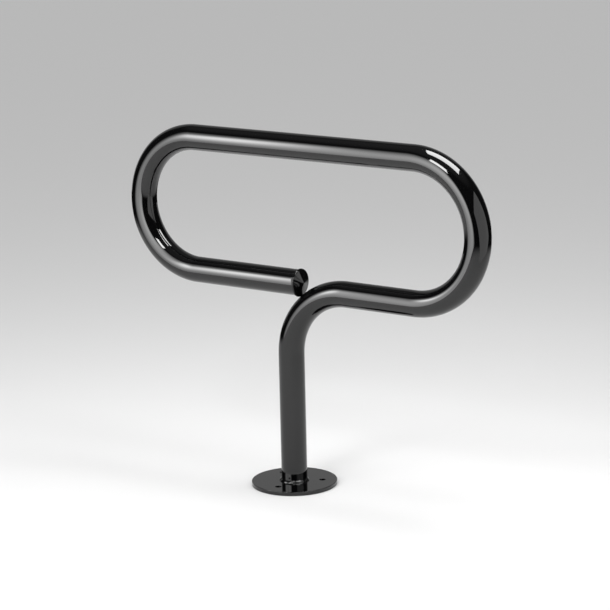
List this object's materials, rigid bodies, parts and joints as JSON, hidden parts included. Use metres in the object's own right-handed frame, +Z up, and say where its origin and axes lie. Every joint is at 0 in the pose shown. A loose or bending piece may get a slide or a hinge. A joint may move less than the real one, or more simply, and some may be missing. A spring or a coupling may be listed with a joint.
{
  "type": "bike parking stand",
  "caption": "Floor-mounted bike parking stand: one steel tube rises from a round plate and bends into a long flat loop, whose free end has a shallow conical plug.",
  "frame": {"origin": "middle of the base plate's underside, on the floor", "axes": "+Z up along the post; +X along the loop, from the free arm towards the arm that the post bends into; -Y towards the side that the picture shows"},
  "size_m": [0.8105, 0.165, 0.685],
  "materials": {
    "powder_coat": "high gloss black powder coat over steel, smooth",
    "plug_plastic": "glossy black moulded plastic"
  },
  "bodies": {
    "root": {"base_plate": "powder_coat", "base_weld": "powder_coat", "bent_tube": "powder_coat", "end_plug": "plug_plastic"}
  },
  "joints": []
}
